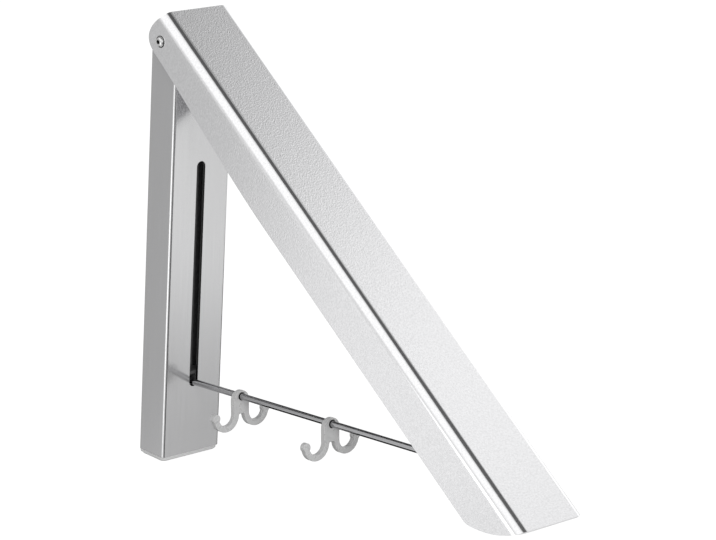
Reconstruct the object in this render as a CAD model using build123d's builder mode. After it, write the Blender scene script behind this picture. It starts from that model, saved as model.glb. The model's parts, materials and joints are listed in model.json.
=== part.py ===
from build123d import *

import os
from math import atan2, cos, degrees, radians, sin

# Folding wall drying rack. Millimetres, +Z up, the wall is the plane Y = 0 and
# the rack stands out from it towards -Y. Heights below are measured from the
# lower end of the aluminium housing, outward distances from the wall.
# The rack is drawn folded out, as it is used.

# Housing: an aluminium channel, open towards the wall
housing_width = 39.0
housing_depth = 19.8
housing_wall = 1.5
housing_corner = 1.6
housing_inner_corner = 0.4
housing_above_pivot = 5.0
lip_width = 4.4
lip_thickness = 1.5

# Slot in the housing's front
slot_width = 5.5
slot_top_height = 162.3
slot_end_gap = 0.35

# Linkage
pivot_height = 227.2
arm_open_angle = 54.2
slider_height = 39.5
slider_outward = 14.5
rod_pivot_along = 291.0

# Arm: a wide aluminium channel over the housing
arm_length = 340.0
arm_overhang = 7.7
arm_gap = 1.3
arm_wall = 1.5
arm_corner = 5.6
arm_web_height = 13.7
arm_side_depth = 14.0
arm_side_depth_end = 13.2
arm_side_depth_pivot = 8.2
arm_lobe_start = 10.5
arm_lobe_reach = 5.8
arm_lobe_upper_reach = 2.6
arm_lobe_upper_height = 4.5
arm_deepest_along = 115.0
arm_taper_near = 31.0
arm_taper_far = 74.8
arm_taper_dip = 0.7
arm_end_cut = 26.0
arm_end_bulge = 3.0
arm_end_radius = 2.0

# Pivot between the housing and the arm
barrel_radius = 2.5
barrel_end_gap = 0.05
running_clearance = 0.05
bush_wall = 0.75
bush_flange_wall = 1.75
bush_flange = 1.15
screw_radius = 1.5
screw_clearance = 0.1
screw_engagement = 7.0
screw_end_gap = 1.0
thread_clearance = 0.03
screw_head_radius = 2.85
screw_head_height = 1.65
screw_head_bevel = 0.9
socket_width = 2.0
socket_depth = 1.0

# Hanging rod and its outer pivot
rod_radius = 1.75
rod_eye_radius = 3.5
rod_inner_eye_radius = 2.5
rod_eye_half_width = 2.0
pin_radius = 1.5
pin_head_radius = 2.6
pin_head_height = 1.0
pin_tail = 2.2
clip_wall = 1.2
clip_thickness = 0.6
clip_tail_gap = 0.4
bracket_sheet = 1.3
bracket_ear_gap = 0.4
bracket_ear_drop = 3.6
bracket_length = 15.0
bracket_base_width = 22.0

# Slider and the track that it runs in
slide_gap = 0.2
slider_half_width = 9.0
slider_depth = 7.6
slider_below = 5.0
slider_above = 6.1
slider_web = 1.75
slider_web_depth = 4.4
slider_corner = 0.8
fork_gap = 0.6
trunnion_radius = 0.9
trunnion_gap = 0.3
track_wall = 2.3
track_lip = 1.6
track_lip_reach = 3.0
track_below = 9.0
track_above = 7.5

# Plastic end caps
cap_flange = 2.4
cap_inset = 0.2
cap_corner = 3.2
cap_bevel = 1.0
top_cap_bevel = 1.5
cap_plug_gap = 0.15
bottom_plug = 6.0
top_plug = 1.9
top_plug_wall_gap = 1.2

# Wall plates that the housing hooks over
plate_sheet = 1.5
plate_gap = 0.3
plate_height = 26.0
plate_pad_gap = 1.8
plate_bend = 1.4
plate_wing_gap = 0.4
wall_hole_radius = 2.5
lower_hole_height = 21.0
upper_hole_drop = 37.2
tab_reach = 13.0
tab_half_width = 7.0

# Locking screw, driven up through the lower cap into the lower wall plate
lock_outward = 8.5
lock_length = 12.0
lock_head_depth = 1.6
lock_head_gap = 0.25

# Hooks, moulded with two prongs each
hook_thickness = 3.2
hook_bore_gap = 0.3
hook_crown = 3.2
hook_prong = 3.3
hook_bend_drop = 9.45
hook_bend_radius = 6.8
hook_leg_gap = 3.7
hook_tip_radius = 2.4
hook_root_radius = 0.9
hook_bevel = 0.4
hook_places = {"hook_inner": 43.0, "hook_outer": 114.0}

# Values that follow from the driving dimensions
housing_height = pivot_height + housing_above_pivot
upper_hole_height = housing_height - upper_hole_drop
origin_height = (lower_hole_height + upper_hole_height) / 2
pivot_outward = housing_depth / 2
front_inside = housing_depth - housing_wall
side_inside = housing_width / 2 - housing_wall
arm_inside = housing_width / 2 + arm_gap
arm_half_width = arm_inside + arm_wall
web_inside = arm_web_height - arm_wall
arm_angle = radians(arm_open_angle)
arm_direction = Vector(0, -sin(arm_angle), -cos(arm_angle))


def place(outward, height):
    """A point in the middle of the rack from its distance to the wall and its height."""
    return Vector(0, -outward, height - origin_height)


pivot_point = place(pivot_outward, pivot_height)
rod_inner = place(slider_outward, slider_height)
rod_outer = pivot_point + arm_direction * rod_pivot_along
rod_length = (rod_outer - rod_inner).length
rod_direction = (rod_outer - rod_inner).normalized()
rod_slope = rod_direction.Z / -rod_direction.Y
rod_height_at_front = slider_height + (housing_depth - slider_outward) * rod_slope
slot_bottom_height = min(slider_height, rod_height_at_front) - rod_radius - slot_end_gap

# Planes. A housing level has X across and Y away from the wall's far side.
# A side plane has X outward or along a member and Y above it.
towards_left = Vector(-1, 0, 0)
across = Vector(1, 0, 0)
side_plane = Plane(origin=place(0, 0), x_dir=(0, -1, 0), z_dir=towards_left)
arm_side_plane = Plane(origin=pivot_point, x_dir=arm_direction, z_dir=towards_left)
arm_section_plane = Plane(origin=pivot_point, x_dir=across, z_dir=arm_direction)
rod_side_plane = Plane(origin=rod_inner, x_dir=rod_direction, z_dir=towards_left)
pin_side_plane = Plane(origin=rod_outer, x_dir=arm_direction, z_dir=towards_left)


def level(height):
    """A horizontal plane at a height above the housing's lower end."""
    return Plane.XY.offset(height - origin_height)


def rod_section_plane(along):
    """The plane square to the rod at a distance from its inner pivot."""
    origin = rod_inner + rod_direction * along
    return Plane(origin=origin, x_dir=across, z_dir=rod_direction)


def axle_plane(centre, start, sign=1):
    """A plane square to a cross axle, facing outwards at a distance from the middle."""
    origin = Vector(sign * start, centre.Y, centre.Z)
    return Plane(origin=origin, x_dir=(0, -1, 0), z_dir=(sign, 0, 0))


def finish(part, label):
    """Label a finished piece and write it to its own file."""
    part.label = label
    export_step(part, f"parts/{label}.step")


os.makedirs("parts", exist_ok=True)

# Housing: channel section with back lips, slot and pivot holes
with BuildPart() as housing:
    with BuildSketch(level(0)) as housing_section:
        with Locations((0, -housing_depth / 2)):
            Rectangle(housing_width, housing_depth)
        fillet(housing_section.vertices().group_by(Axis.Y)[0], housing_corner)
        with BuildSketch(mode=Mode.SUBTRACT) as housing_inside:
            with Locations((0, -front_inside / 2)):
                Rectangle(2 * side_inside, front_inside)
            fillet(housing_inside.vertices().group_by(Axis.Y)[0], housing_inner_corner)
        for sign in (-1, 1):
            with Locations((sign * (side_inside - lip_width / 2), -lip_thickness / 2)):
                Rectangle(lip_width, lip_thickness)
    extrude(amount=housing_height)
    slot_middle = (slot_bottom_height + slot_top_height) / 2 - origin_height
    with BuildSketch(Plane.XZ.offset(front_inside - housing_wall)):
        with Locations((0, slot_middle)):
            SlotOverall(slot_top_height - slot_bottom_height, slot_width, rotation=90)
    extrude(amount=3 * housing_wall, mode=Mode.SUBTRACT)
    with BuildSketch(side_plane):
        with Locations((pivot_outward, pivot_height)):
            Circle(barrel_radius + running_clearance + bush_wall)
    extrude(amount=housing_width, both=True, mode=Mode.SUBTRACT)
finish(housing.part, "housing")


def cap_outline(corner):
    """The outline of a cap's flange, in the sketch that is being drawn."""
    with Locations((0, -housing_depth / 2)):
        RectangleRounded(housing_width - 2 * cap_inset, housing_depth - 2 * cap_inset, corner)


def plug_outline(side_gap):
    """The outline of a cap's plug, between the housing's lips, sides and front."""
    back = lip_thickness + cap_plug_gap
    front = front_inside - cap_plug_gap
    with Locations((0, -(back + front) / 2)):
        RectangleRounded(2 * (side_inside - side_gap), front - back, housing_inner_corner)


# Bottom cap: flange, plug and a counterbored hole for the locking screw
with BuildPart() as bottom_cap:
    with BuildSketch(level(-cap_flange)):
        cap_outline(cap_corner)
    extrude(amount=cap_flange)
    chamfer(bottom_cap.faces().sort_by(Axis.Z)[0].edges(), cap_bevel)
    with BuildSketch(level(0)):
        plug_outline(cap_plug_gap)
    extrude(amount=bottom_plug)
    with BuildSketch(level(-cap_flange)):
        with Locations((0, -lock_outward)):
            Circle(screw_radius + screw_clearance)
    extrude(amount=cap_flange + bottom_plug, mode=Mode.SUBTRACT)
    with BuildSketch(level(-cap_flange)):
        with Locations((0, -lock_outward)):
            Circle(screw_head_radius + lock_head_gap)
    extrude(amount=lock_head_depth, mode=Mode.SUBTRACT)
finish(bottom_cap.part, "bottom_cap")

# Top cap: the same flange with a wider bevel, which the arm swings over
with BuildPart() as top_cap:
    with BuildSketch(level(housing_height)):
        cap_outline(cap_corner)
    extrude(amount=cap_flange)
    chamfer(top_cap.faces().sort_by(Axis.Z)[-1].edges(), top_cap_bevel)
    with BuildSketch(level(housing_height)):
        plug_outline(top_plug_wall_gap)
    extrude(amount=-top_plug)
finish(top_cap.part, "top_cap")

# Wall plates: joggled steel strips, whose wings hook in front of the lips
lip_edge = side_inside - lip_width
pad_half = lip_edge - plate_pad_gap
wing_back = lip_thickness + plate_gap
wing_end = side_inside - plate_wing_gap
for name, hole_height in (("lower", lower_hole_height), ("upper", upper_hole_height)):
    with BuildPart() as wall_plate:
        with BuildSketch(level(hole_height - plate_height / 2)):
            with BuildLine():
                Polyline(
                    (0, 0),
                    (pad_half, 0),
                    (pad_half + plate_bend, -wing_back),
                    (wing_end, -wing_back),
                    (wing_end, -wing_back - plate_sheet),
                    (pad_half + plate_bend - plate_sheet / 2, -wing_back - plate_sheet),
                    (pad_half - plate_sheet / 2, -plate_sheet),
                    (0, -plate_sheet),
                    close=True,
                )
            make_face()
            mirror(about=Plane.YZ)
        extrude(amount=plate_height)
        with BuildSketch(Plane.XZ):
            with Locations((0, hole_height - origin_height)):
                Circle(wall_hole_radius)
        extrude(amount=plate_sheet, mode=Mode.SUBTRACT)
        if name == "lower":
            with BuildSketch(level(hole_height - plate_height / 2)):
                with Locations((0, -tab_reach / 2)):
                    Rectangle(2 * tab_half_width, tab_reach)
                with Locations((0, -lock_outward)):
                    Circle(screw_radius + thread_clearance, mode=Mode.SUBTRACT)
            extrude(amount=plate_sheet)
    finish(wall_plate.part, f"wall_plate_{name}")

# Locking screw: pan head below the cap's counterbore, shank up to the plate's tab
lock_seat = -cap_flange + lock_head_depth
with BuildPart() as locking_screw:
    with BuildSketch(level(lock_seat)):
        with Locations((0, -lock_outward)):
            Circle(screw_head_radius)
    extrude(amount=-lock_head_depth + screw_clearance)
    with BuildSketch(level(lock_seat)):
        with Locations((0, -lock_outward)):
            Circle(screw_radius)
    extrude(amount=lock_length)
    with BuildSketch(level(-cap_flange + screw_clearance)):
        with Locations((0, -lock_outward)):
            RegularPolygon(socket_width / 2, 6, major_radius=False)
    extrude(amount=socket_depth, mode=Mode.SUBTRACT)
finish(locking_screw.part, "locking_screw")

# Track strips behind the slot, one each side, bonded to the housing's front
groove_end = slider_half_width + slide_gap
track_back = slider_outward - slider_depth / 2 - slide_gap - track_lip
track_length = slot_top_height - slider_height + track_above + track_below
for name, sign in (("left", -1), ("right", 1)):
    with BuildPart() as track:
        with BuildSketch(level(slider_height - track_below)):
            with BuildLine():
                Polyline(
                    (sign * groove_end, -front_inside),
                    (sign * (groove_end + track_wall), -front_inside),
                    (sign * (groove_end + track_wall), -track_back),
                    (sign * (groove_end - track_lip_reach), -track_back),
                    (sign * (groove_end - track_lip_reach), -track_back - track_lip),
                    (sign * groove_end, -track_back - track_lip),
                    close=True,
                )
            make_face()
        extrude(amount=track_length)
    finish(track.part, f"slide_track_{name}")

# Slider: a fork with its web above the rod and a trunnion in each cheek
fork_inside = rod_radius + fork_gap
slider_length = slider_above + slider_below
trunnion_end = rod_radius + trunnion_gap
with BuildPart() as slider:
    with BuildSketch(side_plane):
        with Locations((slider_outward, slider_height + slider_above)):
            Rectangle(slider_depth, slider_length, align=(Align.CENTER, Align.MAX))
    extrude(amount=slider_half_width, both=True)
    fillet(slider.edges().filter_by(Axis.X), slider_corner)
    with BuildSketch(side_plane):
        with Locations((slider_outward, slider_height + slider_above - slider_web)):
            Rectangle(2 * slider_depth, slider_length, align=(Align.CENTER, Align.MAX))
        with Locations((slider_outward - slider_web_depth, slider_height)):
            Rectangle(slider_depth, 2 * slider_length)
    extrude(amount=fork_inside, both=True, mode=Mode.SUBTRACT)
    for sign in (-1, 1):
        with BuildSketch(axle_plane(rod_inner, trunnion_end, sign)):
            Circle(trunnion_radius)
        extrude(amount=slider_half_width - trunnion_end)
finish(slider.part, "slider")

# Pivot bushes: flanged nylon bushes in the housing's side walls
for name, sign in (("left", -1), ("right", 1)):
    with BuildPart() as bush:
        bore = barrel_radius + running_clearance
        with BuildSketch(axle_plane(pivot_point, side_inside, sign)):
            Circle(bore + bush_wall)
        extrude(amount=housing_wall)
        with BuildSketch(axle_plane(pivot_point, housing_width / 2, sign)):
            Circle(bore + bush_flange_wall)
        extrude(amount=bush_flange)
        with BuildSketch(axle_plane(pivot_point, side_inside, sign)):
            Circle(bore)
        extrude(amount=housing_wall + bush_flange, mode=Mode.SUBTRACT)
    finish(bush.part, f"pivot_bush_{name}")

# Pivot barrel: threaded at both ends and clamped between the arm's walls
with BuildPart() as pivot_barrel:
    with BuildSketch(side_plane):
        with Locations((pivot_outward, pivot_height)):
            Circle(barrel_radius)
    extrude(amount=arm_inside - barrel_end_gap, both=True)
    for sign in (-1, 1):
        with BuildSketch(axle_plane(pivot_point, arm_inside, sign)):
            Circle(screw_radius + thread_clearance)
        extrude(amount=-screw_engagement - screw_end_gap, mode=Mode.SUBTRACT)
finish(pivot_barrel.part, "pivot_barrel")

# Pivot screws: bevelled button heads with a hexagon socket
for name, sign in (("left", -1), ("right", 1)):
    with BuildPart() as pivot_screw:
        with BuildSketch(axle_plane(pivot_point, arm_half_width, sign)):
            Circle(screw_head_radius)
        extrude(amount=screw_head_height)
        head_rim = pivot_screw.faces().sort_by(Axis.X)[-1 if sign > 0 else 0].edges()
        chamfer(head_rim, screw_head_bevel)
        with BuildSketch(axle_plane(pivot_point, arm_half_width, sign)):
            Circle(screw_radius)
        extrude(amount=-arm_wall - screw_engagement)
        with BuildSketch(axle_plane(pivot_point, arm_half_width + screw_head_height, sign)):
            RegularPolygon(socket_width / 2, 6, major_radius=False)
        extrude(amount=-socket_depth, mode=Mode.SUBTRACT)
    finish(pivot_screw.part, f"pivot_screw_{name}")

# Arm: side outline extruded across, top edges rounded, then hollowed along
arm_end = arm_length - arm_overhang
cut_start = arm_end - arm_end_cut
inside_height = 2 * (web_inside + arm_side_depth)
with BuildPart() as arm_channel:
    with BuildSketch(arm_side_plane) as arm_outline:
        with BuildLine():
            Line((-arm_overhang, arm_web_height), (arm_end, arm_web_height))
            SagittaArc(
                (arm_end, arm_web_height), (cut_start, -arm_side_depth_end), arm_end_bulge
            )
            Line((cut_start, -arm_side_depth_end), (arm_deepest_along, -arm_side_depth))
            Bezier(
                (arm_deepest_along, -arm_side_depth),
                (arm_taper_far, -arm_side_depth),
                (arm_taper_near, -arm_side_depth_pivot - arm_taper_dip),
                (0, -arm_side_depth_pivot),
            )
            Bezier(
                (0, -arm_side_depth_pivot),
                (-arm_overhang - arm_lobe_reach, -arm_side_depth_pivot),
                (-arm_overhang - arm_lobe_upper_reach, arm_lobe_upper_height),
                (-arm_overhang, arm_lobe_start),
            )
            Line((-arm_overhang, arm_lobe_start), (-arm_overhang, arm_web_height))
        make_face()
        lower_corner = arm_outline.vertices().sort_by_distance((cut_start, -arm_side_depth_end))[0]
        fillet(lower_corner, arm_end_radius)
    extrude(amount=arm_half_width, both=True)
    top_face = arm_channel.faces().sort_by(Axis(pivot_point, arm_section_plane.y_dir))[-1]
    fillet(top_face.edges().filter_by(Axis(pivot_point, arm_direction)), arm_corner)
    with BuildSketch(arm_section_plane.offset(-2 * arm_overhang)) as arm_inside_section:
        with Locations((0, web_inside)):
            Rectangle(2 * arm_inside, inside_height, align=(Align.CENTER, Align.MAX))
        fillet(arm_inside_section.vertices().group_by(Axis.Y)[-1], arm_corner - arm_wall)
    extrude(amount=arm_length + 4 * arm_overhang, mode=Mode.SUBTRACT)
    with BuildSketch(arm_side_plane):
        Circle(screw_radius + screw_clearance)
    extrude(amount=2 * arm_half_width, both=True, mode=Mode.SUBTRACT)
finish(arm_channel.part, "arm_channel")

# Rod bracket: a base plate under the web with two ears for the rod's pin
ear_inside = rod_eye_half_width + bracket_ear_gap
ear_outside = ear_inside + bracket_sheet
with BuildPart() as rod_bracket:
    with BuildSketch(pin_side_plane):
        with Locations((0, web_inside - bracket_sheet / 2)):
            Rectangle(bracket_length, bracket_sheet)
    extrude(amount=bracket_base_width / 2, both=True)
    with BuildSketch(pin_side_plane):
        Circle(bracket_ear_drop)
        with Locations((0, web_inside / 2)):
            Rectangle(2 * bracket_ear_drop, web_inside)
        Circle(pin_radius, mode=Mode.SUBTRACT)
    extrude(amount=ear_outside, both=True)
    with BuildSketch(pin_side_plane):
        with Locations((0, web_inside - bracket_sheet)):
            Rectangle(2 * bracket_length, inside_height, align=(Align.CENTER, Align.MAX))
    extrude(amount=ear_inside, both=True, mode=Mode.SUBTRACT)
finish(rod_bracket.part, "rod_bracket")

# Rod pin: a headed pin through both ears, with a clip on its plain end
with BuildPart() as rod_pin:
    with BuildSketch(axle_plane(rod_outer, -ear_outside)):
        Circle(pin_radius)
    extrude(amount=2 * ear_outside + pin_tail)
    with BuildSketch(axle_plane(rod_outer, -ear_outside)):
        Circle(pin_head_radius)
    extrude(amount=-pin_head_height)
finish(rod_pin.part, "rod_pin")

with BuildPart() as rod_pin_clip:
    with BuildSketch(axle_plane(rod_outer, ear_outside + clip_tail_gap)):
        Circle(pin_radius + clip_wall)
        Circle(pin_radius, mode=Mode.SUBTRACT)
        with Locations((-pin_radius - clip_wall, 0)):
            Rectangle(2 * pin_radius + clip_wall, pin_radius, mode=Mode.SUBTRACT)
    extrude(amount=clip_thickness)
finish(rod_pin_clip.part, "rod_pin_clip")

# Hanging rod: straight rod between two eyes
with BuildPart() as hanging_rod:
    with BuildSketch(rod_section_plane(0)):
        Circle(rod_radius)
    extrude(amount=rod_length)
    with BuildSketch(rod_side_plane):
        Circle(rod_inner_eye_radius)
    extrude(amount=rod_radius, both=True)
    with BuildSketch(rod_side_plane):
        with Locations((rod_length, 0)):
            Circle(rod_eye_radius)
    extrude(amount=rod_eye_half_width, both=True)
    with BuildSketch(rod_side_plane):
        Circle(trunnion_radius + running_clearance)
        with Locations((rod_length, 0)):
            Circle(pin_radius + running_clearance)
    extrude(amount=2 * rod_eye_half_width, both=True, mode=Mode.SUBTRACT)
finish(hanging_rod.part, "hanging_rod")

# Hooks: rounded body threaded on the rod, with a prong each side
hook_half_width = hook_leg_gap / 2 + hook_prong
bend_place = hook_leg_gap / 2 + hook_bend_radius + hook_prong / 2
tip_place = bend_place + hook_bend_radius
body_height = hook_bend_drop + hook_crown - hook_half_width
for name, along in hook_places.items():
    with BuildPart() as hook:
        with BuildSketch(rod_section_plane(along - hook_thickness / 2)) as hook_section:
            with Locations((0, hook_crown - hook_half_width)):
                Circle(hook_half_width)
            with Locations((0, -hook_bend_drop + body_height / 2)):
                Rectangle(2 * hook_half_width, body_height)
            for sign in (-1, 1):
                with BuildSketch(mode=Mode.ADD):
                    with Locations((sign * bend_place, -hook_bend_drop)):
                        Circle(hook_bend_radius + hook_prong / 2)
                        Circle(hook_bend_radius - hook_prong / 2, mode=Mode.SUBTRACT)
                    with Locations((sign * bend_place, hook_bend_radius - hook_bend_drop)):
                        Rectangle(
                            4 * hook_bend_radius, 2 * hook_bend_radius, mode=Mode.SUBTRACT
                        )
                with Locations((sign * tip_place, -hook_bend_drop)):
                    Circle(hook_tip_radius)
            corners = hook_section.vertices()
            fillet(corners.filter_by(lambda v: abs(v.X) < hook_leg_gap), hook_root_radius)
            corners = hook_section.vertices()
            fillet(corners.filter_by(lambda v: abs(v.X) > bend_place), hook_root_radius)
        extrude(amount=hook_thickness)
        hook_faces = hook.faces().sort_by(Axis(rod_inner, rod_direction))
        chamfer(hook_faces[0].edges() + hook_faces[-1].edges(), hook_bevel)
        with BuildSketch(rod_section_plane(along - hook_thickness / 2)):
            Circle(rod_radius + hook_bore_gap)
        extrude(amount=hook_thickness, mode=Mode.SUBTRACT)
    finish(hook.part, name)

print("rod length", round(rod_length, 2), "rod slope", round(degrees(atan2(rod_slope, 1)), 2))
print("slot from", round(slot_bottom_height, 2), "to", slot_top_height)
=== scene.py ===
import json
from math import atan2, copysign, cos, pi, radians, sin, sqrt

import bmesh
import bpy
from bpy.props import FloatProperty, FloatVectorProperty, IntProperty, PointerProperty
from bpy.types import Operator, Panel, PropertyGroup
from mathutils import Matrix, Vector


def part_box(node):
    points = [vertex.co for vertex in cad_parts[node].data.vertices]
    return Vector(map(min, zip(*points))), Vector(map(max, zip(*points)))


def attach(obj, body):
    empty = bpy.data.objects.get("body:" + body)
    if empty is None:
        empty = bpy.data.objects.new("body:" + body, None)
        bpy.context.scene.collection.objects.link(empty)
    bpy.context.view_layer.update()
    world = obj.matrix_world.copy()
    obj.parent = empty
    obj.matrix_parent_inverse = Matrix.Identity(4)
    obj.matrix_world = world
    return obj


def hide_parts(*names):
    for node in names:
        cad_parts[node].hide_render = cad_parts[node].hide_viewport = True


bl_info = {
    "name": "Folding Wall Drying Rack",
    "version": (1, 0, 0),
    "blender": (4, 5, 0),
    "location": "View3D > Sidebar > Drying Rack",
    "description": "Builds and dresses a folding wall drying rack on its packed frame",
    "category": "Object",
}

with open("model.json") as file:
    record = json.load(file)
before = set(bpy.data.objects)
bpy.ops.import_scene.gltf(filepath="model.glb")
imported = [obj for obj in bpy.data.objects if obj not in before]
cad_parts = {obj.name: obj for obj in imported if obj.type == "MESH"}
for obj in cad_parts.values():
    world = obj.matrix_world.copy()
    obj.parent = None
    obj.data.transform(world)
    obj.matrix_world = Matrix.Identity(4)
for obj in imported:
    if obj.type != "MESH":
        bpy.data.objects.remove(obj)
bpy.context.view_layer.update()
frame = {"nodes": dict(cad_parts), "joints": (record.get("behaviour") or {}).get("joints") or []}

# Mesh attributes: how polished the arm is, from 0 to 1, and 1 on faces in dark hollows, which get
# painted shade
ROLLED = "rolled"
PAINTED_SHADE = "painted_shade"

MM = 0.001
# A margin for comparing places, and the distances at which vertices merge, in metres
CLOSE = 0.01 * MM
CAD_MERGE = 1e-6
OWN_MERGE = 1e-7
# The greatest bend between CAD facets that count as one face
SAME_FACE = radians(0.5)
# Nearly all of a noise lies between these
NOISE_SPAN = (0.3, 0.7)
# The share of its colour that a surface keeps where shade is painted in a hollow
PAINTED_SHADE_KEPT = 0.05
# How far from the arm's lower corner its rounding starts, as a share of its radius
CORNER_TRIM = 0.55
# The sockets' broken edge, and the share of their width that takes in their corners, inside which
# their faces get painted shade
SOCKET_EDGE = 0.12 * MM
SOCKET_REACH = 0.6

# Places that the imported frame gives, in metres
ACROSS = Vector((1, 0, 0))
joints = {joint["name"]: joint for joint in frame["joints"]}
pivot_point = Vector(joints["arm_fold"]["pos_m"])
rod_outer = Vector(joints["rod_swing"]["pos_m"])
rod_direction = Vector(joints["hook_inner_slide"]["axis"]).normalized()
arm_direction = (rod_outer - pivot_point).normalized()
arm_upward = arm_direction.cross(ACROSS).normalized()


def middle(node):
    """The middle of a CAD node's box."""
    low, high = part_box(node)
    return (low + high) / 2


rod_inner = rod_outer + rod_direction * ((middle("slider").y - rod_outer.y) / rod_direction.y)
housing_low, housing_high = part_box("housing")
arm_half_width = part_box("arm_channel")[1].x


def size(name, description, millimetres):
    """A length that a user may change, given in millimetres."""
    return FloatProperty(
        name=name, description=description, default=millimetres * MM, unit="LENGTH", precision=5
    )


def bearing(name, description, degrees):
    """An angle that a user may change, given in degrees."""
    return FloatProperty(
        name=name, description=description, default=radians(degrees), unit="ROTATION"
    )


def position(name, description, default):
    """A place that a user may change."""
    return FloatVectorProperty(
        name=name, description=description, default=default, subtype="XYZ", unit="LENGTH"
    )


def share(name, description, default):
    """A plain number that a user may change."""
    return FloatProperty(name=name, description=description, default=default)


def colour(name, description, default):
    """A colour that a user may change."""
    return FloatVectorProperty(
        name=name, description=description, default=default, subtype="COLOR", min=0, max=1
    )


class HousingSettings(PropertyGroup):
    """Sizes of the aluminium housing and its end caps."""

    wall: size("Wall", "Thickness of the housing's walls", 1.5)
    corner: size("Corner", "Outer radius of the two front corners", 1.6)
    inner_corner: size("Inner Corner", "Inner radius of the two front corners", 0.4)
    lip_width: size("Lip Width", "Width of each back lip, from the side wall", 4.4)
    lip_thickness: size("Lip Thickness", "Thickness of the back lips", 1.5)
    slot_width: size("Slot Width", "Width of the slot in the front", 5.5)
    slot_bottom: size("Slot Bottom", "Height of the slot's lower end", 37.4)
    slot_top: size("Slot Top", "Height of the slot's upper end", 162.3)
    pivot_hole: size("Pivot Hole", "Radius of the holes for the pivot bushes", 3.3)
    edge: size("Edge", "Width of the broken edges", 0.2)
    cap_corner: size("Cap Corner", "Radius of the end caps' corners", 3.2)
    cap_inset: size("Cap Inset", "How far the caps stay inside the housing", 0.2)


class ArmSettings(PropertyGroup):
    """Sizes of the aluminium arm, measured along it from the pivot."""

    wall: size("Wall", "Thickness of the arm's walls", 1.5)
    corner: size("Corner", "Outer radius of the two long corners", 5.6)
    start: size("Upper End", "Place of the upper end of the top face", -7.7)
    end: size("Lower End", "Place of the lower end of the top face", 332.3)
    top: size("Top Face", "Height of the top face over the pivot's axis", 13.7)
    pivot_depth: size("Depth at Pivot", "Depth of the side walls under the pivot", 8.2)
    depth: size("Greatest Depth", "Depth of the side walls where they are deepest", 14.0)
    deepest: size("Deepest Place", "Place where the side walls are deepest", 115.0)
    end_depth: size("Depth at End", "Depth of the side walls before the end cut", 13.2)
    end_cut: size("End Cut", "Length of the slanting cut at the lower end", 26.0)
    end_bulge: size("End Bulge", "How far the slanting cut bulges outwards", 3.0)
    end_radius: size("End Radius", "Radius of the cut's lower corner", 2.0)
    lobe_start: size("Lobe Start", "Height at which the upper end's lobe begins", 10.5)
    lobe_reach: size("Lobe Reach", "Reach of the lobe's curve at its lower end", 5.8)
    lobe_upper_reach: size("Lobe Upper Reach", "Reach of the curve higher up", 2.6)
    lobe_upper_height: size("Lobe Upper Height", "Height of that upper reach", 4.5)
    taper_near: size("Taper Near", "Where the lower edge's curve leaves the pivot", 31.0)
    taper_far: size("Taper Far", "Where that curve meets the greatest depth", 74.8)
    taper_dip: size("Taper Dip", "How far the curve dips first", 0.7)
    edge: size("Edge", "Width of the broken edges", 0.22)
    columns: IntProperty(name="Columns", description="Steps along the arm", default=140)
    side_polish: share("Side Polish", "How much smoother the sides are than the face", 0.7)
    fading: share("Fading", "How much smoother the face is at its lower end", 0.6)


class RodSettings(PropertyGroup):
    """Sizes of the hanging rod and its two eyes."""

    radius: size("Radius", "Radius of the rod", 1.75)
    inner_eye: size("Inner Eye", "Radius of the eye at the slider", 2.5)
    inner_half: size("Inner Half Width", "Half the inner eye's width", 1.75)
    inner_bore: size("Inner Bore", "Radius of the inner eye's bore", 0.95)
    outer_eye: size("Outer Eye", "Radius of the eye at the bracket", 3.5)
    outer_half: size("Outer Half Width", "Half the outer eye's width", 2.0)
    outer_bore: size("Outer Bore", "Radius of the outer eye's bore", 1.55)
    edge: size("Edge", "Radius of the eyes' rims", 0.3)


class HookSettings(PropertyGroup):
    """Sizes of the moulded hooks, seen along the rod."""

    thickness: size("Thickness", "Thickness along the rod", 3.2)
    bore: size("Bore", "Radius of the bore that the rod runs through", 2.05)
    crown: size("Crown", "Height of the crown over the rod's axis", 3.2)
    prong: size("Prong", "Width of each prong", 3.3)
    bend_drop: size("Bend Drop", "Drop from the rod's axis to the bends' centres", 9.45)
    bend_radius: size("Bend Radius", "Middle radius of each prong's bend", 6.8)
    leg_gap: size("Leg Gap", "Gap between the two prongs under the body", 3.7)
    tip_radius: size("Tip Radius", "Radius of the bulb at each prong's tip", 2.4)
    root_radius: size("Root Radius", "Radius of the inner corners", 0.9)
    edge: size("Edge", "Radius of the rounded edges", 0.4)
    bore_edge: size("Bore Edge", "Radius of the bore's rims", 0.2)
    steps: IntProperty(name="Steps", description="Steps of each arc", default=14)


class ScrewSettings(PropertyGroup):
    """Sizes of the pivot screws and of the locking screw."""

    head_radius: size("Head Radius", "Radius of the heads", 2.85)
    head_height: size("Head Height", "Height of the pivot screws' heads", 1.65)
    # The ring under each head stands for the dark shade round the head and gets painted shade,
    # nearly black.
    washer: size("Washer", "How far the washer stands out past the head", 0.35)
    washer_height: size("Washer Height", "Thickness of the washer", 0.12)
    dome: size("Dome", "Radius of the rounded rim of a pivot screw's head", 1.32)
    lock_height: size("Locking Head Height", "Height of the locking screw's head", 1.5)
    lock_rim: size("Locking Head Rim", "Radius of the locking head's rim", 0.4)
    socket: size("Socket", "Width over the flats of the hexagon sockets", 2.0)
    socket_depth: size("Socket Depth", "Depth of the sockets", 1.3)
    shank_radius: size("Shank Radius", "Outer radius of the threads", 1.5)
    pitch: size("Pitch", "Pitch of the threads", 0.5)
    thread_depth: size("Thread Depth", "Depth of the threads", 0.27)


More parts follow.
